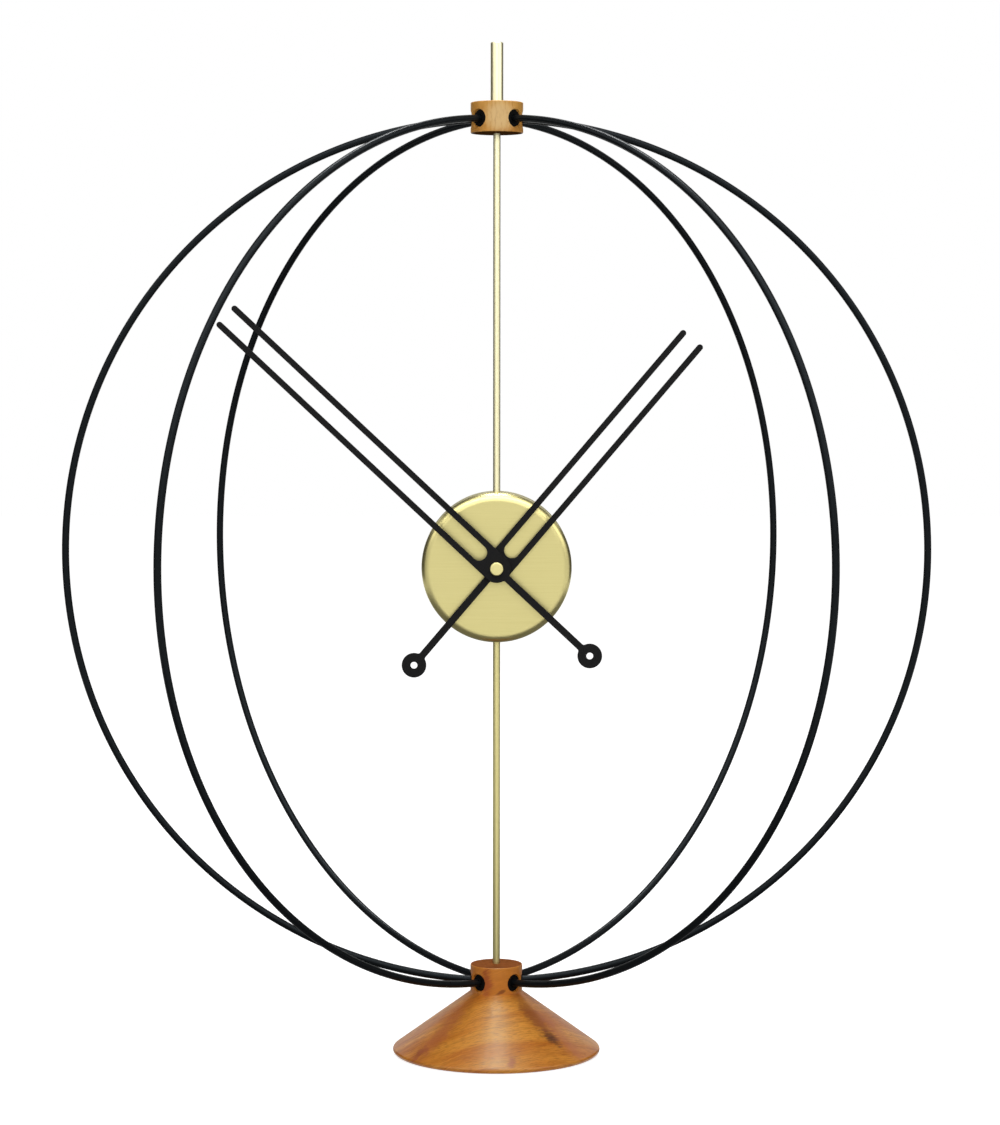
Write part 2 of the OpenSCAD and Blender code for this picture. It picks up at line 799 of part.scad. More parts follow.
// Motor and drive
module stator_2d() {
    difference() {
        union() {
            box_2d(yoke_left, yoke_right, yoke_low, yoke_top);
            box_2d(yoke_left, stator_right, yoke_low, yoke_low + stator_arm);
            for (x = [yoke_left, stator_right - stator_leg])
                box_2d(x, x + stator_leg, core_z - core_h / 2, yoke_low + stator_arm);
            box_2d(yoke_left, stator_right, core_z - core_h / 2, core_z + core_h / 2);
        }
        translate(rotor_at) circle(r = stator_hole_r);
    }
}

module stator() {
    color([0.55, 0.55, 0.57]) slab(level_y(stator_level), stator_t) stator_2d();
}

module along_coil(x0, x1, r) {
    translate([x0, level_y(stator_level + stator_t / 2), pivot_z + core_z]) rotate([0, 90, 0])
        cylinder(h = x1 - x0, r = r);
}

module coil_bobbin() {
    color([0.95, 0.93, 0.85]) difference() {
        union() {
            along_coil(coil_left, coil_right, bobbin_r);
            along_coil(coil_left, coil_left + flange_t, coil_r);
            along_coil(coil_right - flange_t, coil_right, coil_r);
        }
        slab(level_y(stator_level) - seat_fit, stator_t + 2 * seat_fit)
            box_2d(coil_left - through, coil_right + through,
                core_z - core_h / 2 - seat_fit, core_z + core_h / 2 + seat_fit);
    }
}

module coil_winding() {
    color([0.72, 0.4, 0.2]) difference() {
        along_coil(coil_left + flange_t + seat_fit, coil_right - flange_t - seat_fit, coil_r - winding_sink);
        along_coil(coil_left, coil_right, bobbin_r + seat_fit);
    }
}

module circuit_board() {
    color([0.1, 0.35, 0.2]) slab(level_y(board_level), board_t)
        box_2d(board_left, board_right, board_low, board_top);
}

module quartz_crystal() {
    color([0.8, 0.8, 0.82])
        translate([crystal_x, level_y(board_level - crystal_r - seat_fit),
            pivot_z + (board_low + board_top) / 2])
            rotate([0, 90, 0]) cylinder(h = crystal_l, r = crystal_r);
}

// Battery, upright, with its nub at the top
module battery() {
    nub_h = 1;
    nub_r = 1.9;
    color([0.25, 0.27, 0.3])
        translate([battery_x, level_y(battery_t), pivot_z - battery_l / 2]) {
            cylinder(h = battery_l - nub_h, r = battery_r);
            cylinder(h = battery_l, r = nub_r);
        }
}

module contact_box(x0, x1, z0, z1, t0, t1) {
    slab(level_y(t0), t1 - t0) box_2d(x0, x1, z0, z1);
}

// Each contact is a strip that ends at the edge of the circuit board
module positive_contact() {
    strip = 1.2;
    color([0.85, 0.8, 0.6]) {
        contact_box(battery_x - contact_half_w, board_left, contact_z, contact_z + contact_t,
            board_level - strip, board_level + board_t);
        contact_box(battery_x - contact_half_w, battery_x + contact_half_w, contact_z, contact_z + contact_t,
            battery_t - contact_half_w, board_level + board_t);
    }
}

module negative_contact() {
    strip_x = partition_right + end_play;
    tab_inset = 1;
    tab_z = board_low + tab_inset;
    rear_t = inner_depth - end_play;
    color([0.85, 0.8, 0.6]) {
        contact_box(battery_x - contact_half_w, strip_x + contact_t, -contact_z - contact_t, -contact_z,
            inner_depth - level_gap + end_play, rear_t);
        contact_box(battery_x - contact_half_w, battery_x + contact_half_w,
            -contact_z - contact_t, -contact_z, battery_t - contact_half_w, rear_t);
        contact_box(strip_x, strip_x + contact_t, -contact_z - contact_t, tab_z,
            board_level, rear_t);
        contact_box(strip_x, board_left, tab_z - contact_t, tab_z,
            board_level, board_level + board_t);
    }
}

// Hands: two prongs, a hub, and a tail that ends in a ring
module fillet_2d(r) {
    fillet_at = [tail_w / 2 + tail_fillet,
        -sqrt(pow(r + tail_fillet, 2) - pow(tail_w / 2 + tail_fillet, 2))];
    touch = fillet_at * r / (r + tail_fillet);
    for (side = [0, 1]) mirror([side, 0]) difference() {
        polygon([[0, fillet_at[1]], fillet_at, touch, [0, touch[1]]]);
        translate(fillet_at) circle(r = tail_fillet);
    }
}

module hand_2d(reach) {
    slot_r = (prong_pitch - prong_w) / 2;
    half_w = (prong_pitch + prong_w) / 2;
    difference() {
        union() {
            circle(r = hub_r);
            box_2d(-half_w, half_w, 0, slot_end + slot_r);
            for (x = [-prong_pitch / 2, prong_pitch / 2]) {
                box_2d(x - prong_w / 2, x + prong_w / 2, 0, reach);
                translate([x, reach]) circle(r = prong_w / 2);
            }
            box_2d(-tail_w / 2, tail_w / 2, -tail_reach, 0);
            translate([0, -tail_reach]) circle(r = ring_r);
            fillet_2d(hub_r);
            translate([0, -tail_reach]) mirror([0, 1]) fillet_2d(ring_r);
        }
        translate([0, slot_end + slot_r]) circle(r = slot_r);
        translate([0, -tail_reach]) circle(r = ring_hole_r);
    }
}

module hand(reach, angle, front, bore_r) {
    color([0.12, 0.12, 0.12]) difference() {
        slab(front, hand_t) rotate(-angle) hand_2d(reach);
        disc(front - through, hand_t + 2 * through, bore_r);
    }
}

module hour_hand() { hand(hour_reach, hour_angle, hour_front, pipe_r + seat_fit); }
module minute_hand() { hand(minute_reach, minute_angle, minute_front, thread_r + seat_fit); }

module hand_cap() {
    cap_round = 0.6;
    color([0.85, 0.78, 0.5]) difference() {
        turned_case(minute_front - cap_h) cup_2d(cap_r, cap_h, cap_round);
        disc(thread_front - end_play, minute_front - thread_front + through, thread_r + seat_fit);
    }
}

base_body();
felt_pad();
base_washer();
base_nut();
lower_rod();
upper_rod();
rod_nuts();
top_collar();
finial();
hoop_side_left();
hoop_side_right();
hoop_front_left();
hoop_front_right();
hoop_back_left();
hoop_back_right();
lower_bushes();
upper_bushes();
case_shell();
back_cover();
rubber_washer();
threaded_bush();
fixing_nut();
front_housing();
rear_housing();
middle_plate();
minute_arbor();
centre_wheel();
third_wheel();
second_wheel();
intermediate_wheel();
rotor();
minute_wheel();
hour_wheel();
setting_stem();
setting_knob();
stator();
coil_bobbin();
coil_winding();
circuit_board();
quartz_crystal();
battery();
positive_contact();
negative_contact();
hour_hand();
minute_hand();
hand_cap();
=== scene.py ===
import math

import bmesh
import bpy
from mathutils import Matrix, Vector


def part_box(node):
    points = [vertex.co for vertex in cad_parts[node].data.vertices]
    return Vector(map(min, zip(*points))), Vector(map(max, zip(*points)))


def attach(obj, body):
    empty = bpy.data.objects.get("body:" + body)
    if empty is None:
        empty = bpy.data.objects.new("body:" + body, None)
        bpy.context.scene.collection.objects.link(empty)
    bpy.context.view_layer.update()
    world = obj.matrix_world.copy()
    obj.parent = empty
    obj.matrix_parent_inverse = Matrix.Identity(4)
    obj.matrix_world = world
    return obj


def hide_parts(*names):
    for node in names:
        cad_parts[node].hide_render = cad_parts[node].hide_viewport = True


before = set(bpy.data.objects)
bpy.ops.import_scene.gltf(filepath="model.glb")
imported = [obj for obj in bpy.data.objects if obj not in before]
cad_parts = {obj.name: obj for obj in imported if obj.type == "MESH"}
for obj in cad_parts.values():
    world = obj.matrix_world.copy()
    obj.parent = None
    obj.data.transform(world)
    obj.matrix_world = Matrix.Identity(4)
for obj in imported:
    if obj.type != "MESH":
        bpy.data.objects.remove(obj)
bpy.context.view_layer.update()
mm = 0.001  # pieces are drawn in millimetres and finished in metres
handsHeight = 245.0  # axis of the hands and of the case
print("frame loaded with", len(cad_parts), "nodes")


# a socket in sums: 1 - mask adds its own Math node
class Wire:
    def __init__(self, sheet, socket):
        self.sheet = sheet
        self.socket = socket

    def maths(self, operation, first, second=0.0):
        return self.sheet.node("ShaderNodeMath", {"operation": operation}, {0: first, 1: second})

    def __add__(self, other):
        return self.maths("ADD", self, other)

    def __radd__(self, other):
        return self.maths("ADD", other, self)

    def __sub__(self, other):
        return self.maths("SUBTRACT", self, other)

    def __rsub__(self, other):
        return self.maths("SUBTRACT", other, self)

    def __mul__(self, other):
        return self.maths("MULTIPLY", self, other)

    def __rmul__(self, other):
        return self.maths("MULTIPLY", other, self)

    def __truediv__(self, other):
        return self.maths("DIVIDE", self, other)

    def __rtruediv__(self, other):
        return self.maths("DIVIDE", other, self)

    def __mod__(self, other):
        return self.maths("FLOORED_MODULO", self, other)

    def least(self, other):
        return self.maths("MINIMUM", self, other)

    def out(self, name):
        return Wire(self.sheet, self.socket.node.outputs[name])


# a node tree and the one method that adds nodes to it
class Sheet:
    def __init__(self, tree):
        self.tree = tree
        self.tree.nodes.clear()

    def node(self, kind, settings=None, sockets=None, out=0):
        made = self.tree.nodes.new(kind)
        for name, value in (settings or {}).items():
            setattr(made, name, value)
        for name, value in (sockets or {}).items():
            if isinstance(value, Wire):
                self.tree.links.new(value.socket, made.inputs[name])
            else:
                made.inputs[name].default_value = value
        return Wire(self, made.outputs[out]) if made.outputs else None

    def vectors(self, operation, first, second, out=0):
        return self.node("ShaderNodeVectorMath", {"operation": operation}, {0: first, 1: second}, out)

    def stretch(self, place, sizes):
        return self.vectors("MULTIPLY", place, sizes)

    def along(self, place, direction):
        return self.vectors("DOT_PRODUCT", place, direction, "Value")

    def distance(self, place, spot):
        return self.vectors("DISTANCE", place, spot, "Value")

    def noise(self, place, scale=1.0, detail=2.0, roughness=0.5):
        sockets = {"Vector": place, "Scale": scale, "Detail": detail, "Roughness": roughness}
        return self.node("ShaderNodeTexNoise", {}, sockets)

    def fade(self, value, low, high, first=0.0, last=1.0):
        settings = {"interpolation_type": "SMOOTHSTEP"}
        return self.node("ShaderNodeMapRange", settings, {0: value, 1: low, 2: high, 3: first, 4: last})

    # sockets 6 and 7 of a Mix node are its colours, output 2 the mixed colour
    def mix(self, share, first, second):
        colours = {6: first, 7: second}
        for name, colour in colours.items():
            if not isinstance(colour, Wire):
                colours[name] = (*colour, 1.0)
        return self.node("ShaderNodeMix", {"data_type": "RGBA"}, {0: share, **colours}, 2)

    def bump(self, height, depth, strength=1.0):
        sockets = {"Height": height, "Distance": depth * mm, "Strength": strength}
        return self.node("ShaderNodeBump", {}, sockets)


# a material: its sheet starts with the place on the piece, in millimetres
class Finish(Sheet):
    def __init__(self, name):
        self.material = bpy.data.materials.new(name)
        self.material.use_nodes = True
        super().__init__(self.material.node_tree)
        spot = self.node("ShaderNodeTexCoord", out="Object")
        self.place = self.node("ShaderNodeVectorMath", {"operation": "SCALE"}, {0: spot, "Scale": 1 / mm})
        self.x = self.along(self.place, (1, 0, 0))
        self.z = self.along(self.place, (0, 0, 1))

    def done(self, sockets):
        shader = self.node("ShaderNodeBsdfPrincipled", {}, sockets)
        self.node("ShaderNodeOutputMaterial", {}, {"Surface": shader})
        return self.material


# pen in the XZ plane: (x, z) draws straight and (centre x, centre z, degrees) an arc,
# anticlockwise if positive
def draw(mesh, start, moves, arcSteps=10):
    tip = mesh.verts.new((start[0], 0, start[1]))
    for move in moves:
        if len(move) == 2:
            tip = bmesh.ops.extrude_vert_indiv(mesh, verts=[tip])["verts"][0]
            tip.co = (move[0], 0, move[1])
        else:
            swept = bmesh.ops.spin(
                mesh, geom=[tip], cent=(move[0], 0, move[1]), axis=(0, -1, 0),
                angle=math.radians(move[2]), steps=arcSteps,
            )
            tip = [part for part in swept["geom_last"] if isinstance(part, bmesh.types.BMVert)][0]
    return mesh


def settle(mesh, gap=0.0005):
    bmesh.ops.remove_doubles(mesh, verts=mesh.verts, dist=gap)
    bmesh.ops.recalc_face_normals(mesh, faces=mesh.faces)
    return mesh


# turns a drawn half section once round Z
def turned(start, moves, steps=160, arcSteps=10):
    mesh = draw(bmesh.new(), start, moves, arcSteps)
    bmesh.ops.spin(
        mesh, geom=mesh.verts[:] + mesh.edges[:], cent=(0, 0, 0), axis=(0, 0, 1),
        angle=math.tau, steps=steps, use_merge=True,
    )
    return settle(mesh)


def shift(mesh, x=0.0, y=0.0, z=0.0):
    bmesh.ops.translate(mesh, verts=mesh.verts, vec=(x, y, z))
    return mesh


def turn(mesh, degrees, axis):
    spun = Matrix.Rotation(math.radians(degrees), 3, axis)
    bmesh.ops.rotate(mesh, verts=mesh.verts, cent=(0, 0, 0), matrix=spun)
    return mesh


# a section turned about the hands' axis: its height points to the front
def faceFront(mesh):
    turn(mesh, 90, "X")
    return shift(mesh, z=handsHeight)


def joined(meshes):
    whole = bmesh.new()
    for mesh in meshes:
        spare = bpy.data.meshes.new("spare")
        mesh.to_mesh(spare)
        whole.from_mesh(spare)
        bpy.data.meshes.remove(spare)
        mesh.free()
    return whole


def holder(mesh, name):
    data = bpy.data.meshes.new(name)
    mesh.to_mesh(data)
    mesh.free()
    made = bpy.data.objects.new(name, data)
    bpy.context.scene.collection.objects.link(made)
    return made


# cuts the shape of one mesh out of another
def carve(mesh, tool):
    block = holder(mesh, "block")
    cutter = holder(tool, "cutter")
    cut = block.modifiers.new("cut", "BOOLEAN")
    cut.object = cutter
    cut.solver = "EXACT"
    carved = bmesh.new()
    carved.from_object(block, bpy.context.evaluated_depsgraph_get())
    for spare in (block, cutter):
        data = spare.data
        bpy.data.objects.remove(spare)
        bpy.data.meshes.remove(data)
    return settle(carved, 0.0001)


# a drill about Z from one height to another, tapered if it has a second radius
def drill(radius, low, high, steps=48, endRadius=None):
    mesh = bmesh.new()
    bmesh.ops.create_cone(
        mesh, cap_ends=True, segments=steps, radius1=radius, radius2=endRadius or radius,
        depth=high - low, matrix=Matrix.Translation((0, 0, (low + high) / 2)),
    )
    return mesh


# makes the object, in metres, and hands it to its body
def place(name, mesh, body, finish, slot, nodes, sharp=32):
    bmesh.ops.scale(mesh, verts=mesh.verts, vec=(mm, mm, mm))
    piece = holder(mesh, name)
    piece.data.materials.append(finish)
    piece.data.shade_smooth()
    piece.data.set_sharp_from_angle(angle=math.radians(sharp))
    flats = piece.modifiers.new("flat faces stay flat", "WEIGHTED_NORMAL")
    flats.keep_sharp = True
    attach(piece, body)
    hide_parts(*nodes)
    return piece


# varnished wood of the foot: fine slanting layers, patches round the knots and a thin coat
footWood = {
    "mid": (0.56, 0.168, 0.013), "light": (0.72, 0.292, 0.036), "line": (0.34, 0.080, 0.007),
    "neck": (0.72, 0.242, 0.029), "neckFade": (30.5, 31.8), "neckShare": 0.6,
    "end": (0.36, 0.118, 0.036), "endLine": (0.26, 0.080, 0.023),
    "across": (-0.27, 0.55, 0.79), "side": (0.946, 0.0, 0.323), "deep": (0.178, 0.835, -0.52),
    "wander": 9.0, "ruffle": {"cloud": 1.1, "stroke": 1.9, "fine": 0.8},
    "roughness": (0.26, 0.14), "bump": (0.03, 0.4),
    "coat": 0.22, "coatRoughness": 0.24, "ior": 1.33, "glint": (0.42, 1.0, 0.76, 1.0),
}
# grain layers: how often they change across and along the grain, per millimetre, and their detail
footGrain = {
    "broad": (0.13, 0.016, 1.0), "fine": (0.62, 0.035, 2.0),
    "stroke": (1.5, 0.14, 2.0), "hair": (2.3, 0.32, 2.0),
}
# which layer tints the wood, between which of its values, how much and with what
footTints = [
    ("fine", (0.48, 0.70), 0.38, "line"),
    ("stroke", (0.53, 0.68), 0.44, "line"),
    ("stroke", (0.45, 0.30), 0.45, "light"),
    ("hair", (0.50, 0.66), 0.46, "line"),
]
# patches: middle, direction, half length and half width, colour and share
footPatches = {
    "dark knot": ((27.4, -26.0, 13.2), (0.80, -0.40, -0.45), (7.2, 4.6), (0.075, 0.021, 0.007), 0.95),
    "streak": ((19.5, -18.0, 20.5), (0.584, -0.553, -0.595), (16.0, 6.2), (0.29, 0.075, 0.020), 0.75),
    "left knot": ((-37.6, -29.4, 5.8), (0.55, 0.45, 0.70), (5.6, 4.0), (0.27, 0.052, 0.016), 0.85),
    "red fleck": ((7.5, -47.6, 5.6), (0.1, 0.8, 0.6), (4.8, 2.4), (0.40, 0.088, 0.030), 0.8),
    "left flank": ((-28.0, -24.0, 13.0), (0.52, 0.50, 0.69), (26.0, 6.0), (0.44, 0.110, 0.036), 0.66),
    "right flank": ((33.0, -22.0, 10.0), (0.60, -0.50, -0.62), (24.0, 6.0), (0.46, 0.125, 0.042), 0.62),
    "neck stain": ((-5.0, -12.0, 37.5), (0.0, 0.0, 1.0), (8.0, 3.4), (0.40, 0.075, 0.018), 0.8),
    "neck fleck": ((2.5, -12.8, 32.8), (0.9, 0.0, 0.4), (3.0, 1.0), (0.16, 0.03, 0.008), 0.7),
}
patchFade = (0.3, 1.2)  # where a patch starts and ends to fade, in its own half sizes


# a soft spindle-shaped patch, 1 in its middle
def patchMask(f, at, way, size, ruffle):
    aim = Vector((1, 0, 0)).rotation_difference(Vector(way)).to_euler()
    long, wide = size
    sockets = {"Vector": f.place, "Location": at, "Rotation": aim, "Scale": (long, wide, wide)}
    local = f.node("ShaderNodeMapping", {"vector_type": "TEXTURE"}, sockets)
    return f.fade(f.distance(local, (0, 0, 0)) + ruffle, *patchFade, 1.0, 0.0)


def makeFootWood():
    wood = footWood
    f = Finish("foot varnished wood")
    drift = f.noise(f.place, 0.02, 2.0)
    across = f.along(f.place, wood["across"]) + (drift - 0.5) * wood["wander"]
    side = f.along(f.place, wood["side"])
    deep = f.along(f.place, wood["deep"])

    def layer(fineness, length, detail):
        sockets = {0: across * fineness, 1: side * length, 2: deep * length}
        return f.noise(f.node("ShaderNodeCombineXYZ", {}, sockets), 1.0, detail, 0.55)

    grain = {name: layer(*sizes) for name, sizes in footGrain.items()}
    tone = f.mix(f.fade(grain["broad"], 0.36, 0.64), wood["mid"], wood["light"])
    for name, span, share, tint in footTints:
        tone = f.mix(f.fade(grain[name], *span) * share, tone, wood[tint])
    tone = f.mix(f.fade(f.z, *wood["neckFade"]) * wood["neckShare"], tone, wood["neck"])
    ruffle = (f.noise(f.place, 0.3, 3.0, 0.6) - 0.5) * wood["ruffle"]["cloud"]
    for name in ("stroke", "fine"):
        ruffle = ruffle + (grain[name] - 0.5) * wood["ruffle"][name]
    for at, way, size, tint, share in footPatches.values():
        tone = f.mix(patchMask(f, at, way, size, ruffle) * share, tone, tint)
    return f.done({
        "Base Color": tone,
        "Roughness": wood["roughness"][0] + grain["hair"] * wood["roughness"][1],
        "Normal": f.bump(grain["hair"] + grain["stroke"], *wood["bump"]),
        "Coat Weight": wood["coat"],
        "Coat Roughness": wood["coatRoughness"],
        "IOR": wood["ior"],
        "Specular Tint": wood["glint"],
    })


# turned collar: honey wood with a few pores, and a paler patch on its front that is a painted sheen
collarWood = {
    "mid": (0.64, 0.27, 0.042), "light": (0.76, 0.38, 0.075), "dark": (0.42, 0.145, 0.024),
    "pore": (0.22, 0.08, 0.02), "ior": 1.3,
    # painted sheen: a pale patch on the collar's front, where the front lamp's highlight falls
    "paintedSheen": (0.83, 0.56, 0.24), "paintedSheenAt": (1.5, -13.0, 467.0), "paintedSheenSize": (3.0, 10.5), "paintedSheenRuffle": 6.0,
    # end grain under the collar: near black, painted shade on its underside
    "end": (0.075, 0.032, 0.009), "endLine": (0.045, 0.018, 0.005),
}


def makeCollarWood():
    wood = collarWood
    f = Finish("collar varnished wood")
    cloud = f.noise(f.stretch(f.place, (0.09, 0.09, 0.05)), 1.0, 2.0)
    fibre = f.noise(f.stretch(f.place, (0.9, 0.9, 0.22)), 1.0, 3.0, 0.6)
    pores = f.noise(f.stretch(f.place, (0.9, 0.9, 0.5)), 1.0, 1.0)
    tone = f.mix(f.fade(cloud, 0.35, 0.65), wood["light"], wood["mid"])
    # painted sheen: the front of the collar turns pale round this spot
    away = f.distance(f.place, wood["paintedSheenAt"]) + (fibre - 0.5) * wood["paintedSheenRuffle"]
    tone = f.mix(f.fade(away, *wood["paintedSheenSize"], 1.0, 0.0) * 0.9, tone, wood["paintedSheen"])
    tone = f.mix(f.fade(fibre, 0.5, 0.75) * 0.35, tone, wood["dark"])
    tone = f.mix(f.fade(pores, 0.73, 0.78) * 0.8, tone, wood["pore"])
    return f.done({
        "Base Color": tone,
        "Roughness": 0.36 + fibre * 0.12,
        "Normal": f.bump(fibre, 0.02, 0.4),
        "IOR": wood["ior"],
    })


# bare end grain on top of the neck and under the collar; the collar's is near black, painted shade on its
# underside
def makeEndGrain(name, wood):
    f = Finish(name)
    ring = f.noise(f.stretch(f.place, (0.5, 1.4, 0.5)), 1.0, 3.0, 0.6)
    return f.done({
        "Base Color": f.mix(f.fade(ring, 0.35, 0.7), wood["end"], wood["endLine"]),
        "Roughness": 0.8 + ring * 0.15,
        "Normal": f.bump(ring, 0.02, 0.4),
        "Specular IOR Level": 0.0,
    })


# brass with fine lines: grain gives how often the tone changes along x, y and z, per millimetre
satinBrass = {"tone": (0.51, 0.455, 0.20), "deep": (0.44, 0.384, 0.153), "spot": (0.467, 0.416, 0.186)}
brightBrass = {"tone": (0.55, 0.495, 0.225), "deep": (0.49, 0.43, 0.18), "spot": (0.50, 0.445, 0.19)}
# the rod brass made paler: painted light on the upper rod and the finial, which are the same brass as the
# lower rod
paintedLightBrass = {"tone": (0.75, 0.70, 0.45), "deep": (0.71, 0.65, 0.40), "spot": (0.70, 0.64, 0.39)}
sawnBrass = {"tone": (0.42, 0.365, 0.15), "deep": (0.34, 0.29, 0.11), "spot": (0.38, 0.33, 0.13)}


def makeBrass(name, brass, grain, roughness, lines, depth):
    f = Finish(name)
    streak = f.noise(f.stretch(f.place, grain), 1.0, 4.0, 0.65)
    cloud = f.noise(f.place, 0.05, 2.0)
    tone = f.mix(f.fade(streak, 0.35, 0.75) * lines, brass["tone"], brass["deep"])
    tone = f.mix(f.fade(cloud, 0.45, 0.8) * 0.3, tone, brass["spot"])
    return f.done({
        "Base Color": tone,
        "Metallic": 1.0,
        "Roughness": roughness + (streak - 0.5) * 0.03 + (cloud - 0.5) * 0.05,
        "Normal": f.bump(streak, depth, 0.3),
    })


# black coats: gloss on the bent rod, matt on the hands, dull on rubber
def makeBlack(name, tone, roughness, gloss, sheen=(1.0, 1.0, 1.0)):
    f = Finish(name)
    flow = f.noise(f.place, 0.5, 2.0)
    grit = f.noise(f.place, 3.0, 2.0)
    worn = tuple(part * 1.8 for part in tone)
    return f.done({
        "Base Color": f.mix(f.fade(grit, 0.4, 0.75), tone, worn),
        "Roughness": roughness + (flow - 0.5) * 0.14,
        "Normal": f.bump(flow + grit * 0.3, 0.015, 0.3),
        "IOR": gloss,
        "Specular Tint": (*sheen, 1.0),
    })


# moulded or sintered stuff: a fine even texture with a cloudy tone
def makeMoulded(name, tone, roughness, metallic=0.0, fineness=2.4):
    f = Finish(name)
    grit = f.noise(f.place, fineness, 3.0, 0.6)
    cloud = f.noise(f.place, 0.12, 2.0)
    dim = tuple(part * 0.72 for part in tone)
    shade = f.fade(cloud, 0.35, 0.7) * 0.6 + f.fade(grit, 0.45, 0.7) * 0.35
    return f.done({
        "Base Color": f.mix(shade, tone, dim),
        "Roughness": roughness + (grit - 0.5) * 0.2,
        "Metallic": metallic,
        "Normal": f.bump(grit, 0.02, 0.4),
    })


# winding: enamelled wire lying turn beside turn along x
winding = {
    "pitch": 0.12, "bright": (0.62, 0.24, 0.09), "dull": (0.45, 0.15, 0.05), "gap": (0.12, 0.03, 0.012),
}


def makeWinding():
    p = winding
    f = Finish("enamelled copper wire")
    turnPlace = (f.x / p["pitch"]) % 1.0
    ridge = 1 - (turnPlace - 0.5) * (turnPlace - 0.5) * 4
    sheen = f.noise(f.place, 1.1, 2.0)
    tone = f.mix(f.fade(sheen, 0.35, 0.7), p["bright"], p["dull"])
    return f.done({
        "Base Color": f.mix(1 - ridge, tone, p["gap"]),
        "Roughness": 0.3 + sheen * 0.15,
        "Metallic": 0.85,
        "Normal": f.bump(ridge, 0.05, 0.6),
    })


# laminate board with copper tracks under green lacquer
board = {"track": (0.05, 0.22, 0.09), "ground": (0.02, 0.11, 0.045), "weave": (0.03, 0.08, 0.03), "gap": 0.12}


def makeBoard():
    p = board
    f = Finish("green laminate board")
    track = f.noise(f.stretch(f.place, (0.35, 0.35, 0.7)), 1.0, 0.0)
    line = f.fade(track % p["gap"], 0.03, 0.05)
    weave = f.noise(f.stretch(f.place, (4.0, 1.0, 4.0)), 1.0, 2.0)
    tone = f.mix(line, p["track"], p["ground"])
    return f.done({
        "Base Color": f.mix(weave * 0.3, tone, p["weave"]),
        "Roughness": 0.32 + weave * 0.16,
        "Normal": f.bump(line, 0.03, 0.4),
    })


# cell in a plain dark film, with a band near the top and bare ends of nickelled steel
cell = {
    "film": (0.035, 0.045, 0.06), "stripe": (0.55, 0.30, 0.10), "scuff": (0.2, 0.2, 0.21),
    "steel": (0.62, 0.61, 0.58), "filmLow": (0.3, 0.5), "filmHigh": (-1.6, -1.4), "band": 4.0,
}


def makeCell(low, high):
    p = cell
    f = Finish("cell film and steel")
    start, stop = [low + part for part in p["filmLow"]], [high + part for part in p["filmHigh"]]
    bare = 1 - f.fade(f.z, *start) * f.fade(f.z, *stop, 1.0, 0.0)
    stripe = f.fade(f.z, *[part - p["band"] for part in stop])
    scuff = f.noise(f.stretch(f.place, (0.6, 0.6, 2.2)), 1.0, 3.0, 0.6)
    film = f.mix(stripe, p["film"], p["stripe"])
    film = f.mix(f.fade(scuff, 0.5, 0.8) * 0.3, film, p["scuff"])
    return f.done({
        "Base Color": f.mix(bare, film, p["steel"]),
        "Metallic": bare * 0.95,
        "Roughness": 0.28 + scuff * 0.2,
        "Normal": f.bump(scuff, 0.01, 0.3),
    })


# pressed wool felt
wool = {"deep": (0.012, 0.012, 0.013), "fibre": (0.06, 0.058, 0.055), "tuft": (0.03, 0.028, 0.026)}


def makeFelt():
    p = wool
    f = Finish("pressed wool felt")
    fibre = f.noise(f.place, 1.6, 5.0, 0.7)
    tuft = f.noise(f.place, 0.35, 3.0)
    tone = f.mix(f.fade(fibre, 0.35, 0.7), p["deep"], p["fibre"])
    return f.done({
        "Base Color": f.mix(f.fade(tuft, 0.4, 0.7) * 0.4, tone, p["tuft"]),
        "Roughness": 0.88 + fibre * 0.1,
        "Normal": f.bump(fibre + tuft, 0.25, 0.8),
        "Sheen Weight": 0.5,
        "Sheen Roughness": 0.6,
        "Specular IOR Level": 0.2,
    })


footFinish = makeFootWood()
collarFinish = makeCollarWood()
footEndFinish = makeEndGrain("foot end grain", footWood)
collarUndersideShadeFinish = makeEndGrain("collar end grain in painted shade", collarWood)
rodFinish = makeBrass("drawn brass rod", brightBrass, (1.2, 1.2, 0.012), 0.33, 0.5, 0.001)
# paler copy of the rod finish: painted light for the upper rod and the finial
paintedLightRodFinish = makeBrass("drawn brass rod paler in painted light", paintedLightBrass, (1.2, 1.2, 0.012), 0.3, 0.3, 0.0005)
sawnFinish = makeBrass("sawn brass end", sawnBrass, (2.0, 0.4, 1.0), 0.84, 0.5, 0.003)
caseFinish = makeBrass("brushed brass case", satinBrass, (0.03, 0.8, 3.0), 0.30, 0.45, 0.001)
turnedBrass = makeBrass("turned movement brass", satinBrass, (1.5, 4.0, 1.5), 0.24, 0.5, 0.003)
hoopFinish = makeBlack("black enamelled rod", (0.0036, 0.0042, 0.0049), 0.30, 1.19, (0.78, 0.92, 1.0))
handFinish = makeBlack("matt black hand", (0.0074, 0.0073, 0.0075), 0.6, 1.165)
rubberFinish = makeBlack("black rubber", (0.003, 0.003, 0.003), 0.7, 1.12)
feltFinish = makeFelt()
steelFinish = makeMoulded("plain steel", (0.56, 0.56, 0.57), 0.3, 1.0, 1.2)
housingFinish = makeMoulded("black moulded housing", (0.022, 0.022, 0.023), 0.5)
print("finishes mixed:", len(bpy.data.materials))


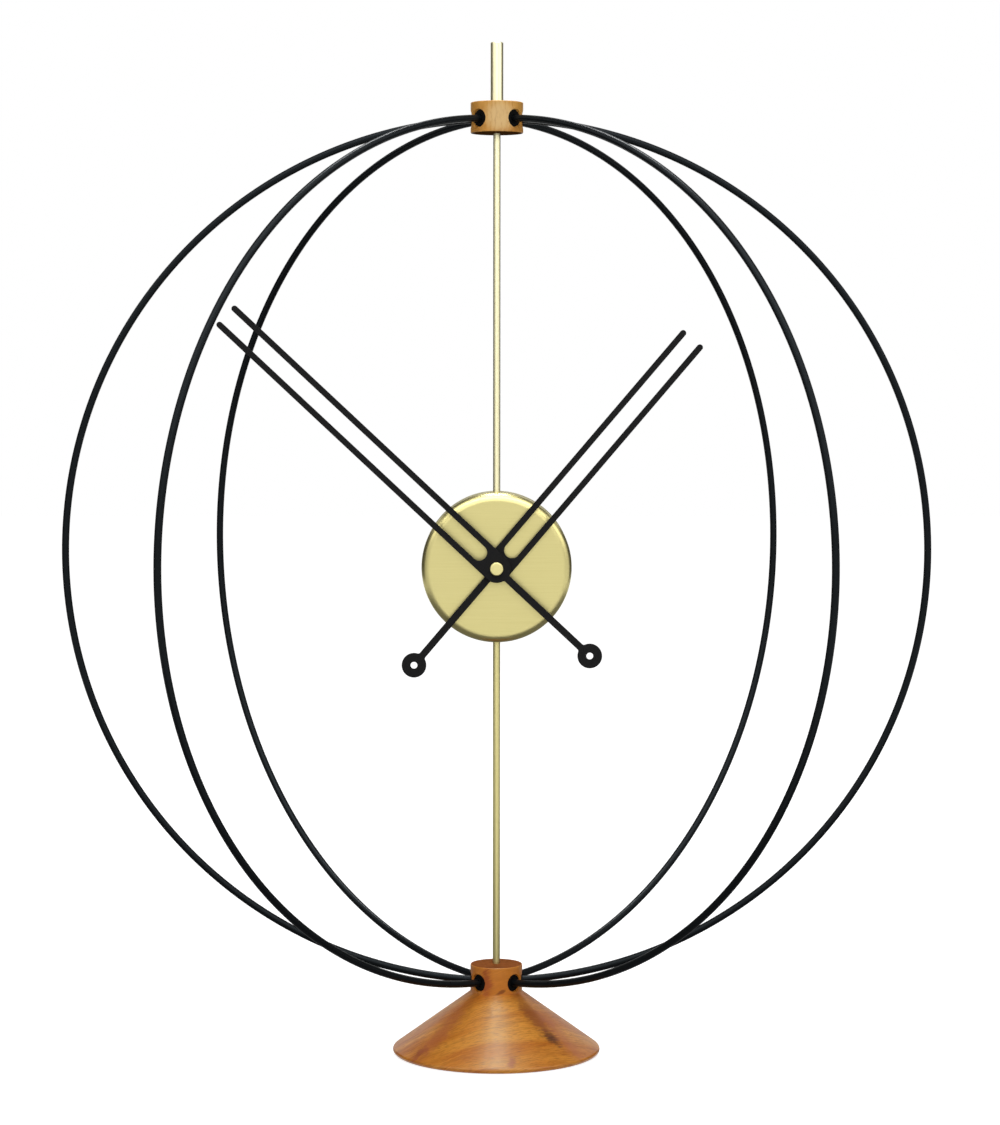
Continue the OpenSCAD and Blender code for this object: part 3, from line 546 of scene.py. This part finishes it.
# wooden foot: a cone with a straight neck, drilled for the six hoops
foot = {
    "bore": 1.55, "top": 44.9, "neck": 13.0, "neckEnd": 31.1, "topRound": 0.5,
    "rim": (51.426, 3.0305), "rimRound": (50.6, 1.9), "rimSweep": -143.85,
    "low": 0.5, "recess": (45.05, 2.0), "well": (8.5, 16.0),
}
socket = {"height": {"foot": 36.72, "collar": 466.28}, "inner": (2.15, 6.5), "outer": (4.977, 14.0)}
hoopTurns = {
    "side_right": 0, "back_right": 45, "back_left": 135,
    "side_left": 180, "front_left": 225, "front_right": -45,
}


# lays a shape made about Z along one hoop's direction, at a height
def toHoop(mesh, azimuth, height):
    turn(mesh, 90, "Y")
    turn(mesh, azimuth, "Z")
    return shift(mesh, z=height)


def socketCutters(height):
    (inner, low), (outer, high) = socket["inner"], socket["outer"]
    cutters = []
    for azimuth in hoopTurns.values():
        cutters.append(toHoop(drill(inner, low, high, steps=64, endRadius=outer), azimuth, height))
    return joined(cutters)


# faces at this height that look up (1) or down (-1) take the piece's second finish
def markEnd(mesh, height, way):
    for face in mesh.faces:
        level = abs(face.calc_center_median().z - height) < 0.1
        face.material_index = 1 if level and face.normal.z * way > 0.9 else 0


def makeFoot():
    p = foot
    neckTop = p["top"] - p["topRound"]
    mesh = turned((p["bore"], p["top"]), [
        (p["neck"] - p["topRound"], p["top"]),
        (p["neck"] - p["topRound"], neckTop, -90),
        (p["neck"], p["neckEnd"]),
        p["rim"],
        (*p["rimRound"], p["rimSweep"]),
        (p["recess"][0], p["low"]),
        (p["recess"][0], p["recess"][1]),
        (p["well"][0], p["recess"][1]),
        p["well"],
        (p["bore"], p["well"][1]),
        (p["bore"], p["top"]),
    ], steps=192)
    mesh = carve(mesh, socketCutters(socket["height"]["foot"]))
    markEnd(mesh, p["top"], 1)
    made = place("wooden_foot", mesh, "stand", footFinish, "base_wood", ["base_body"])
    made.data.materials.append(footEndFinish)
    return made


makeFoot()


# collar at the top, with the same six sockets
collar = {"bore": 1.55, "radius": 13.0, "low": 459.5, "high": 474.6, "edge": 0.5}


def makeCollar():
    p = collar
    inner = p["radius"] - p["edge"]
    mesh = turned((p["bore"], p["high"]), [
        (inner, p["high"]),
        (inner, p["high"] - p["edge"], -90),
        (p["radius"], p["low"] + p["edge"]),
        (inner, p["low"] + p["edge"], -90),
        (p["bore"], p["low"]),
        (p["bore"], p["high"]),
    ], steps=192)
    mesh = carve(mesh, socketCutters(socket["height"]["collar"]))
    markEnd(mesh, p["low"], -1)
    made = place("wooden_collar", mesh, "stand", collarFinish, "collar_wood", ["top_collar"])
    made.data.materials.append(collarUndersideShadeFinish)
    return made


makeCollar()
print("wood turned and drilled")


# felt disc let into the foot's underside
felt = {"radius": 45.0, "thick": 2.0, "round": 0.5}


def makeFeltPad():
    p = felt
    inner = p["radius"] - p["round"]
    mesh = turned((0, p["thick"]), [
        (inner * 0.5, p["thick"]),
        (inner, p["thick"]),
        (inner, p["thick"] - p["round"], -90),
        (p["radius"], p["round"]),
        (inner, p["round"], -90),
        (inner * 0.5, 0),
        (0, 0),
    ], steps=128, arcSteps=4)
    pad = place("felt_disc", mesh, "stand", feltFinish, "felt", ["felt_pad"])
    return pad


makeFeltPad()


# hoops of bent rod: half circles from the collar round to the foot
hoop = {"bend": 215.0, "rod": 1.8, "middle": 251.5, "endGap": 1.76, "steps": 160, "round": 28}


def makeHoop(name, azimuth):
    p = hoop
    mesh = bmesh.new()
    bmesh.ops.create_circle(mesh, cap_ends=False, radius=p["rod"], segments=p["round"])
    turn(mesh, 90, "Y")
    shift(mesh, z=p["bend"])
    turn(mesh, p["endGap"], "Y")
    bmesh.ops.spin(
        mesh, geom=mesh.verts[:] + mesh.edges[:], cent=(0, 0, 0), axis=(0, 1, 0),
        angle=math.radians(180 - 2 * p["endGap"]), steps=p["steps"],
    )
    bmesh.ops.holes_fill(mesh, edges=[edge for edge in mesh.edges if edge.is_boundary], sides=0)
    settle(mesh)
    turn(mesh, azimuth, "Z")
    shift(mesh, z=p["middle"])
    return place("wire_hoop_" + name, mesh, "stand", hoopFinish, "hoop_black", ["hoop_" + name])


for hoopName, hoopTurn in hoopTurns.items():
    makeHoop(hoopName, hoopTurn)


# rubber bushes round the hoops' ends
bush = {"bore": 1.95, "inner": (2.12, 6.5), "outer": (4.193, 12.0), "edge": 0.15, "slack": 0.05}


def makeBushes(name, height, node):
    p = bush
    rings = []
    for azimuth in hoopTurns.values():
        mesh = turned((p["bore"], p["inner"][1]), [
            p["inner"],
            (p["outer"][0] - p["slack"], p["outer"][1] - p["edge"]),
            (p["outer"][0] - p["edge"] - p["slack"], p["outer"][1]),
            (p["bore"], p["outer"][1]),
            (p["bore"], p["inner"][1]),
        ], steps=48)
        rings.append(toHoop(mesh, azimuth, height))
    return place(name, joined(rings), "stand", rubberFinish, "bush_black", [node])


makeBushes("rubber_bushes_low", socket["height"]["foot"], "lower_bushes")
makeBushes("rubber_bushes_high", socket["height"]["collar"], "upper_bushes")
print("hoops bent and bushed")


# brass rods with thinner ends, and the finial on top
rod = {
    "radius": 1.8, "end": 1.5, "edge": 0.2,
    "lower": (11.8, 44.9, 207.75, 212.72), "upper": (277.28, 282.25, 459.5, 487.8),
}


def makeRod(name, heights, node, finish):
    p = rod
    low, start, stop, high = heights
    mesh = turned((0, low), [
        (p["end"] - p["edge"], low),
        (p["end"], low + p["edge"]),
        (p["end"], start),
        (p["radius"], start),
        (p["radius"], stop),
        (p["end"], stop),
        (p["end"], high - p["edge"]),
        (p["end"] - p["edge"], high),
        (0, high),
    ], steps=72)
    return place(name, mesh, "stand", finish, "polished_brass", [node])


makeRod("brass_rod_low", rod["lower"], "lower_rod", rodFinish)
makeRod("brass_rod_high", rod["upper"], "upper_rod", paintedLightRodFinish)

finial = {"radius": 3.15, "low": 474.6, "high": 504.1, "bore": (1.53, 488.6), "edge": 0.4, "foot": 0.15}


def makeFinial():
    p = finial
    mesh = turned((p["bore"][0], p["low"]), [
        (p["radius"] - p["foot"], p["low"]),
        (p["radius"], p["low"] + p["foot"]),
        (p["radius"], p["high"] - p["edge"]),
        (p["radius"] - p["edge"], p["high"] - p["edge"], 90),
        (0, p["high"]),
        (0, p["bore"][1]),
        p["bore"],
        (p["bore"][0], p["low"]),
    ], steps=96)
    markEnd(mesh, p["high"], 1)
    made = place("brass_finial", mesh, "stand", paintedLightRodFinish, "polished_brass", ["finial"])
    made.data.materials.append(sawnFinish)
    return made


makeFinial()


# round case: a shell open at the back, with a rounded front edge
case = {
    "bore": 4.05, "front": 14.0, "radius": 37.25, "round": 4.5, "wall": 1.6, "back": -12.1,
    "seat": (36.45, -10.5), "spigot": 1.55, "drillReach": 45.0,
}


def makeCase():
    p = case
    flat = p["radius"] - p["round"]
    bend = p["front"] - p["round"]
    inside = p["radius"] - p["wall"]
    mesh = turned((p["bore"], p["front"]), [
        (flat, p["front"]),
        (flat, bend, -90),
        (p["radius"], p["back"]),
        (p["seat"][0], p["back"]),
        p["seat"],
        (inside, p["seat"][1]),
        (inside, bend),
        (flat, bend, 90),
        (p["bore"], p["front"] - p["wall"]),
        (p["bore"], p["front"]),
    ], steps=192, arcSteps=14)
    faceFront(mesh)
    mesh = carve(mesh, drill(p["spigot"], handsHeight - p["drillReach"], handsHeight + p["drillReach"]))
    return place("brass_case", mesh, "stand", caseFinish, "satin_brass", ["case_shell"])


makeCase()


# back cover that pulls off, with a ring that grips the case and a hole for the knob
cover = {
    "radius": 36.3, "thick": 1.6, "back": -12.1, "ring": (34.3, 35.5, -7.0), "edge": 0.3,
    "hole": 7.2, "holeReach": (-20.0, 0.0), "knob": (15.5987, 247.9756),
}


def makeCover():
    p = cover
    inside = p["back"] + p["thick"]
    low, high, reach = p["ring"]
    mesh = turned((0, inside), [
        (low, inside),
        (low, reach),
        (high, reach),
        (high, inside),
        (p["radius"], inside),
        (p["radius"], p["back"] + p["edge"]),
        (p["radius"] - p["edge"], p["back"] + p["edge"], -90),
        (0, p["back"]),
    ], steps=160)
    faceFront(mesh)
    tool = turn(drill(p["hole"], *p["holeReach"], steps=96), 90, "X")
    shift(tool, x=p["knob"][0], z=p["knob"][1])
    mesh = carve(mesh, tool)
    return place("brass_back_cover", mesh, "back_cover", caseFinish, "satin_brass", ["back_cover"])


makeCover()


# setting knob with grooves for the fingers
knob = {
    "radius": 4.0, "front": -5.3, "back": -13.3, "edge": 0.3, "bore": (1.23, -10.35),
    "grooves": 18, "groove": 0.3, "grooveEnd": -10.3,
}


def makeKnob():
    p = knob
    low, high = p["back"], p["front"]
    mesh = turned((0, low), [
        (p["radius"] - p["edge"], low),
        (p["radius"] - p["edge"], low + p["edge"], 90),
        (p["radius"], high),
        (p["bore"][0], high),
        p["bore"],
        (0, p["bore"][1]),
    ], steps=144)
    cuts = []
    for number in range(p["grooves"]):
        groove = drill(p["groove"], low - 1, p["grooveEnd"], steps=12)
        shift(groove, x=p["radius"])
        cuts.append(turn(groove, 360 / p["grooves"] * number, "Z"))
    mesh = carve(mesh, joined(cuts))
    turn(mesh, 90, "X")
    shift(mesh, x=cover["knob"][0], z=cover["knob"][1])
    return place("grooved_knob", mesh, "setting_knob", housingFinish, "housing_black", ["setting_knob"])


makeKnob()
print("case, cover and knob made")


# threaded bush of the movement, and the hexagon nut that clamps the case on it
neck = {"radius": 4.0, "bore": 2.55, "low": 10.4, "high": 16.8, "pitch": 0.75, "depth": 0.22}
nut = {"corner": 6.3509, "bore": 4.03, "low": 14.0, "high": 16.0, "edge": 0.22}


def makeNeck():
    p = neck
    path = [(p["radius"], p["low"])]
    height = p["low"] + p["pitch"]
    while height < p["high"] - p["pitch"]:
        path.append((p["radius"], height))
        path.append((p["radius"] - p["depth"], height + p["pitch"] / 2))
        height = height + p["pitch"]
    path.append((p["radius"] - p["depth"], p["high"]))
    path.append((p["bore"], p["high"]))
    path.append((p["bore"], p["low"]))
    mesh = faceFront(turned((p["bore"], p["low"]), path, steps=72))
    return place("threaded_neck", mesh, "stand", turnedBrass, "movement_brass", ["threaded_bush"], sharp=60)


def makeNut():
    p = nut
    mesh = bmesh.new()
    bmesh.ops.create_circle(mesh, cap_ends=True, radius=p["corner"], segments=6)
    shift(mesh, z=p["low"])
    raised = bmesh.ops.extrude_face_region(mesh, geom=mesh.faces[:])
    tops = [part for part in raised["geom"] if isinstance(part, bmesh.types.BMVert)]
    bmesh.ops.translate(mesh, verts=tops, vec=(0, 0, p["high"] - p["low"]))
    settle(mesh)
    bmesh.ops.bevel(
        mesh, geom=mesh.edges[:], offset=p["edge"], segments=3, profile=0.5, affect="EDGES", material=-1,
    )
    mesh = carve(mesh, drill(p["bore"], p["low"] - 1, p["high"] + 1, steps=72))
    return place("hexagon_nut", faceFront(mesh), "stand", turnedBrass, "movement_brass", ["fixing_nut"])


makeNeck()
makeNut()


# forked hands: two prongs, a round hub, a thin tail and a ring at its end
hand = {
    "slot": 3.875, "prong": 1.525, "slotFoot": 7.8, "hub": 6.925, "fillet": 1.2, "hubAngle": 68.7,
    "tail": 1.75, "ring": (6.1, 62.9), "ringHole": 1.7, "ringAngle": 66.2, "thick": 1.2, "edge": 0.14,
}
hourHand = {"reach": 147.4, "bore": 2.53, "front": -18.6, "degrees": 40.4}
minuteHand = {"reach": 180.8, "bore": 1.13, "front": -21.6, "degrees": -46.9}


def makeHand(name, body, node, own):
    p = hand
    filletX = p["tail"] + p["fillet"]
    hubFillet = math.sqrt((p["hub"] + p["fillet"]) ** 2 - filletX ** 2)
    ringSize, ringAway = p["ring"]
    ringFillet = math.sqrt((ringSize + p["fillet"]) ** 2 - filletX ** 2)
    mesh = draw(bmesh.new(), (0, p["slotFoot"]), [
        (0, p["slotFoot"] + p["slot"], 90),
        (p["slot"], own["reach"]),
        (p["slot"] + p["prong"], own["reach"], -180),
        (p["hub"], 0),
        (0, 0, -p["hubAngle"]),
        (filletX, -hubFillet, p["hubAngle"]),
        (p["tail"], ringFillet - ringAway),
        (filletX, ringFillet - ringAway, p["ringAngle"]),
        (0, -ringAway, p["ringAngle"] - 90 - 2 * p["ringAngle"]),
    ], arcSteps=16)
    bmesh.ops.mirror(mesh, geom=mesh.verts[:] + mesh.edges[:], axis="X", merge_dist=0.01)
    for radius, height in ((own["bore"], 0), (p["ringHole"], -ringAway)):
        lift = Matrix.Translation((0, 0, height)) @ Matrix.Rotation(math.radians(90), 4, "X")
        bmesh.ops.create_circle(mesh, cap_ends=False, radius=radius, segments=40, matrix=lift)
    bmesh.ops.remove_doubles(mesh, verts=mesh.verts, dist=0.01)
    bmesh.ops.triangle_fill(mesh, use_beauty=True, use_dissolve=False, edges=mesh.edges[:])
    raised = bmesh.ops.extrude_face_region(mesh, geom=mesh.faces[:])
    backs = [part for part in raised["geom"] if isinstance(part, bmesh.types.BMVert)]
    bmesh.ops.translate(mesh, verts=backs, vec=(0, p["thick"] - 2 * p["edge"], 0))
    bmesh.ops.recalc_face_normals(mesh, faces=mesh.faces)
    for way in (-1, 1):
        flat = [face for face in mesh.faces if face.normal.y * way > 0.99]
        bmesh.ops.inset_region(mesh, faces=flat, thickness=p["edge"], depth=p["edge"], use_even_offset=True)
    turn(mesh, own["degrees"], "Y")
    shift(mesh, y=own["front"] + p["edge"], z=handsHeight)
    return place(name, mesh, body, handFinish, "hand_black", [node], sharp=25)


makeHand("forked_hour_hand", "hour_hand", "hour_hand", hourHand)
makeHand("forked_minute_hand", "minute_hand", "minute_hand", minuteHand)

cap = {"radius": 3.3, "low": 21.6, "high": 23.6, "round": 0.6, "bore": (1.13, 23.1)}


def makeCap():
    p = cap
    flat = p["radius"] - p["round"]
    mesh = turned((0, p["high"]), [
        (flat, p["high"]),
        (flat, p["high"] - p["round"], -90),
        (p["radius"], p["low"]),
        (p["bore"][0], p["low"]),
        p["bore"],
        (0, p["bore"][1]),
    ], steps=96)
    faceFront(mesh)
    return place("brass_hand_cap", mesh, "minute_hand", rodFinish, "polished_brass", ["hand_cap"])


makeCap()
print("hands cut and capped")


# the movement keeps its solids and gets its finishes
whiteFinish = makeMoulded("white moulded wheel", (0.78, 0.77, 0.71), 0.42)
cellLow, cellHigh = (corner.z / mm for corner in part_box("battery"))
inside = {
    "base_washer": steelFinish, "base_nut": steelFinish, "rod_nuts": steelFinish,
    "stator": steelFinish, "quartz_crystal": steelFinish,
    "rubber_washer": rubberFinish, "minute_arbor": turnedBrass,
    "front_housing": housingFinish, "rear_housing": housingFinish,
    "centre_wheel": whiteFinish, "third_wheel": whiteFinish, "second_wheel": whiteFinish,
    "intermediate_wheel": whiteFinish, "minute_wheel": whiteFinish, "hour_wheel": whiteFinish,
    "setting_stem": whiteFinish, "coil_bobbin": whiteFinish,
    "middle_plate": makeMoulded("grey moulded plate", (0.42, 0.42, 0.40), 0.45),
    "rotor": makeMoulded("sintered magnet", (0.10, 0.10, 0.11), 0.4, 0.9, 3.5),
    "coil_winding": makeWinding(),
    "circuit_board": makeBoard(),
    "battery": makeCell(cellLow, cellHigh),
    "positive_contact": makeMoulded("nickelled spring brass", (0.60, 0.57, 0.49), 0.28, 1.0, 1.5),
}
inside["negative_contact"] = inside["positive_contact"]

for nodeName, nodeFinish in inside.items():
    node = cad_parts[nodeName]
    node.data.materials.clear()
    node.data.materials.append(nodeFinish)
print("movement finished:", len(inside), "nodes")


# white floor that still takes the shadow
studio = {
    "floor": 12.0, "floorTone": 0.55, "floorGlow": 0.86, "farGlow": 1.0, "near": 0.3, "far": 1.1,
    "fill": 0.06,
}


def seenRay(sheet):
    path = sheet.node("ShaderNodeLightPath", out="Is Camera Ray")
    return (path + path.out("Is Glossy Ray") + path.out("Is Transmission Ray")).least(1.0)


def makeFloor():
    mesh = bmesh.new()
    bmesh.ops.create_grid(mesh, x_segments=1, y_segments=1, size=studio["floor"] / 2)
    floor = holder(mesh, "floor")
    material = bpy.data.materials.new("white floor")
    material.use_nodes = True
    sheet = Sheet(material.node_tree)
    spot = sheet.node("ShaderNodeTexCoord", out="Object")
    cloud = sheet.noise(spot, 3.0)
    white = (studio["floorTone"],) * 3
    tone = sheet.mix(cloud * 0.1, white, tuple(part * 0.97 for part in white))
    paint = sheet.node("ShaderNodeBsdfDiffuse", {}, {"Color": tone})
    away = sheet.distance(spot, (0, 0, 0))
    level = sheet.fade(away, studio["near"], studio["far"], studio["floorGlow"], studio["farGlow"])
    glow = sheet.node("ShaderNodeEmission", {}, {"Strength": seenRay(sheet) * level})
    both = sheet.node("ShaderNodeAddShader", {}, {0: paint, 1: glow})
    sheet.node("ShaderNodeOutputMaterial", {}, {"Surface": both})
    floor.data.materials.append(material)


def makeWorld():
    world = bpy.data.worlds.new("white studio")
    world.use_nodes = True
    sheet = Sheet(world.node_tree)
    level = studio["fill"] + seenRay(sheet) * (1 - studio["fill"])
    air = sheet.node("ShaderNodeBackground", {}, {"Color": (1, 1, 1, 1), "Strength": level})
    sheet.node("ShaderNodeOutputWorld", {}, {"Surface": air})
    bpy.context.scene.world = world


makeFloor()
makeWorld()


# softboxes: where they hang, what they face, their size and how bright their face is
lamps = {
    "top strip": {"at": (0.0, 0.35, 1.9), "to": (0.0, 0.1, 0.0), "size": (0.32, 1.0), "bright": 11.0},
    "front box": {"at": (0.0, -2.1, 1.05), "to": (0.0, 0.0, 0.35), "size": (1.9, 1.1), "bright": 2.2},
    "left box": {"at": (-1.75, -0.95, 1.0), "to": (0.0, 0.0, 0.35), "size": (1.6, 1.1), "bright": 0.4},
    "right box": {"at": (1.75, -0.95, 1.0), "to": (0.0, 0.0, 0.35), "size": (1.6, 1.1), "bright": 0.8},
    "roof box": {"at": (0.0, -0.95, 1.95), "to": (0.0, -0.4, 0.3), "size": (2.4, 1.5), "bright": 1.8},
}
unmirrored = ("left box", "right box")  # cards stand in for these in reflections

for lampName, lamp in lamps.items():
    light = bpy.data.lights.new(lampName, "AREA")
    light.shape = "RECTANGLE"
    light.size, light.size_y = lamp["size"]
    light.energy = math.pi * light.size * light.size_y * lamp["bright"]
    hung = bpy.data.objects.new(lampName, light)
    hung.location = lamp["at"]
    hung.rotation_euler = (Vector(lamp["to"]) - Vector(lamp["at"])).to_track_quat("-Z", "Y").to_euler()
    hung.visible_camera = False
    hung.visible_glossy = lampName not in unmirrored
    bpy.context.scene.collection.objects.link(hung)


# cards that only reflections see: dark ones draw the edges on the brass, bright ones its sheen
cards = {
    "left card": {"at": (-1.0, 0.83, 0.4), "turn": (0, 90, 0), "size": (0.8, 2.1), "tone": 0.09},
    "right card": {"at": (1.0, 1.08, 0.4), "turn": (0, 90, 0), "size": (0.8, 2.1), "tone": 0.09},
    "left flag": {"at": (-0.95, 1.35, 1.6), "turn": (0, 0, 0), "size": (1.3, 2.6), "tone": 0.12},
    "right flag": {"at": (0.95, 0.85, 1.6), "turn": (0, 0, 0), "size": (1.3, 1.6), "tone": 0.12},
    "back card": {"at": (0.0, 1.5, 0.35), "turn": (90, 0, 0), "size": (1.0, 0.5), "tone": 0.09},
    "front card": {"at": (0.0, -2.05, 1.1), "turn": (90, 0, 0), "size": (1.9, 1.1), "tone": 2.1},
    "low card": {"at": (0.0, 0.17, 0.002), "turn": (0, 0, 0), "size": (1.2, 0.86), "tone": 0.28},
    "side card": {"at": (-1.2, -0.6, 0.25), "turn": (0, 90, 0), "size": (0.5, 1.0), "tone": 0.7},
    "wing card": {"at": (-0.36, -0.42, 0.002), "turn": (0, 0, 0), "size": (0.48, 0.34), "tone": 0.4},
    "roof card": {"at": (0.0, -0.95, 1.93), "turn": (0, 0, 0), "size": (2.6, 1.5), "tone": 3.6},
    "strip card": {"at": (0.0, 0.35, 1.88), "turn": (0, 0, 0), "size": (0.32, 1.0), "tone": 18.5},
    "left bright card": {"at": (-1.3, -0.95, 1.34), "turn": (0, 90, 0), "size": (1.18, 1.5), "tone": 2.4},
    "right bright card": {"at": (1.3, -0.95, 1.275), "turn": (0, 90, 0), "size": (1.31, 1.5), "tone": 2.6},
}


def makeCard(name, card):
    mesh = bmesh.new()
    bmesh.ops.create_grid(mesh, x_segments=1, y_segments=1, size=0.5)
    bmesh.ops.scale(mesh, verts=mesh.verts, vec=(*card["size"], 1))
    for degrees, axis in zip(card["turn"], "XYZ"):
        turn(mesh, degrees, axis)
    shift(mesh, *card["at"])
    flag = holder(mesh, name.replace(" ", "_"))
    material = bpy.data.materials.new(name)
    material.use_nodes = True
    sheet = Sheet(material.node_tree)
    paint = sheet.node("ShaderNodeEmission", {}, {"Strength": card["tone"]})
    sheet.node("ShaderNodeOutputMaterial", {}, {"Surface": paint})
    flag.data.materials.append(material)
    flag.visible_camera = False
    flag.visible_diffuse = False
    flag.visible_shadow = False
    flag.visible_transmission = False


for cardName, card in cards.items():
    makeCard(cardName, card)


# camera at the photograph's angle
view = {"at": (0.0, -1.49195, 0.33679), "tilt": 86.551, "roll": -0.04, "lens": 95.88, "shift": 0.0029}
eye = bpy.data.cameras.new("photo view")
eye.lens = view["lens"]
eye.sensor_width = 36.0
eye.shift_x = view["shift"]
eye.clip_start = 0.01
eye.clip_end = 50.0
camera = bpy.data.objects.new("photo view", eye)
camera.location = view["at"]
camera.rotation_euler = (math.radians(view["tilt"]), math.radians(view["roll"]), 0)
bpy.context.scene.collection.objects.link(camera)
bpy.context.scene.camera = camera
bpy.context.scene.view_settings.view_transform = "Standard"
print("studio set")

bpy.context.view_layer.update()
